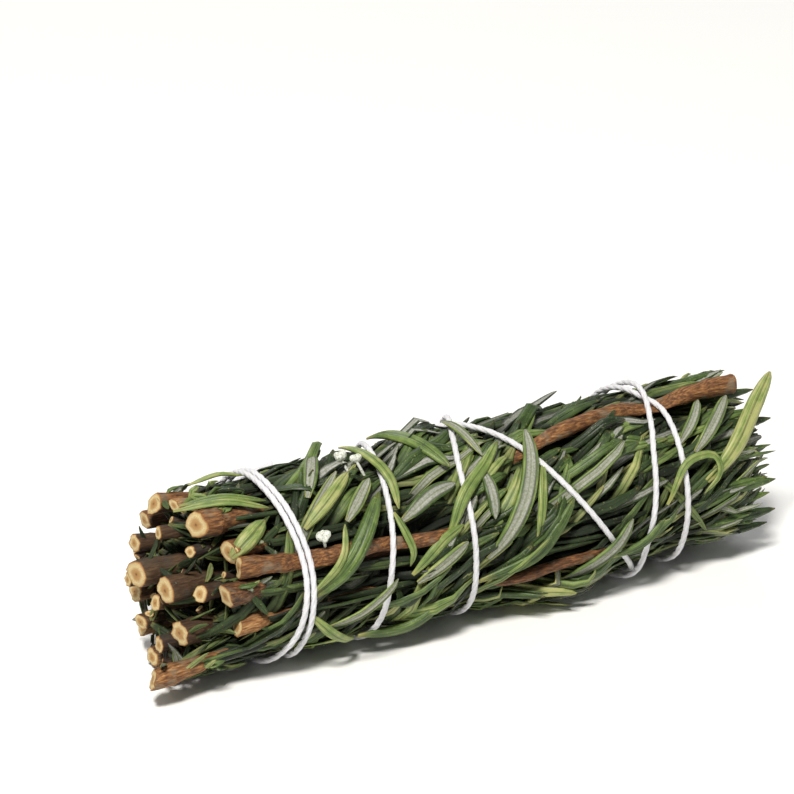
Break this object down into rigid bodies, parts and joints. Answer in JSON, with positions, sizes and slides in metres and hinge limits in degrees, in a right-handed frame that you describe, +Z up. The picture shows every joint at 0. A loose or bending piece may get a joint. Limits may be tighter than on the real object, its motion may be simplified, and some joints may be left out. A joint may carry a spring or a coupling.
{
  "type": "dried rosemary bundle",
  "caption": "Bundle of cut, dried rosemary sprigs laid side by side and wound with one length of white cotton string, lying on its side.",
  "frame": {"origin": "on the floor under the middle of the bundle: bottom centre of its box", "axes": "+X along the bundle from the cut stem ends to the leaf tips, +Z up away from the surface it lies on"},
  "size_m": [0.128, 0.0358, 0.0365],
  "materials": {
    "rosemary_leaf": "dry leathery needle leaf, deep to yellow green on top with a soft gloss, pale grey felt underneath",
    "rosemary_stem": "rough reddish brown bark with leaf scars, pale straw cut ends",
    "cotton_string": "white twisted cotton string, matt"
  },
  "bodies": {
    "root": {"stem_01": "rosemary_stem", "leaves_01": "rosemary_leaf", "stem_02": "rosemary_stem", "leaves_02": "rosemary_leaf", "stem_03": "rosemary_stem", "leaves_03": "rosemary_leaf", "stem_04": "rosemary_stem", "leaves_04": "rosemary_leaf", "stem_05": "rosemary_stem", "leaves_05": "rosemary_leaf", "stem_06": "rosemary_stem", "leaves_06": "rosemary_leaf", "stem_07": "rosemary_stem", "leaves_07": "rosemary_leaf", "stem_08": "rosemary_stem", "leaves_08": "rosemary_leaf", "stem_09": "rosemary_stem", "leaves_09": "rosemary_leaf", "stem_10": "rosemary_stem", "leaves_10": "rosemary_leaf", "stem_11": "rosemary_stem", "leaves_11": "rosemary_leaf", "stem_12": "rosemary_stem", "leaves_12": "rosemary_leaf", "stem_13": "rosemary_stem", "leaves_13": "rosemary_leaf", "stem_14": "rosemary_stem", "leaves_14": "rosemary_leaf", "stem_15": "rosemary_stem", "leaves_15": "rosemary_leaf", "stem_16": "rosemary_stem", "leaves_16": "rosemary_leaf", "stem_17": "rosemary_stem", "leaves_17": "rosemary_leaf", "stem_18": "rosemary_stem", "leaves_18": "rosemary_leaf", "stem_19": "rosemary_stem", "leaves_19": "rosemary_leaf", "stem_20": "rosemary_stem", "leaves_20": "rosemary_leaf", "stem_21": "rosemary_stem", "leaves_21": "rosemary_leaf", "stem_22": "rosemary_stem", "leaves_22": "rosemary_leaf", "stem_23": "rosemary_stem", "leaves_23": "rosemary_leaf", "stem_24": "rosemary_stem", "leaves_24": "rosemary_leaf", "string": "cotton_string"}
  },
  "joints": []
}
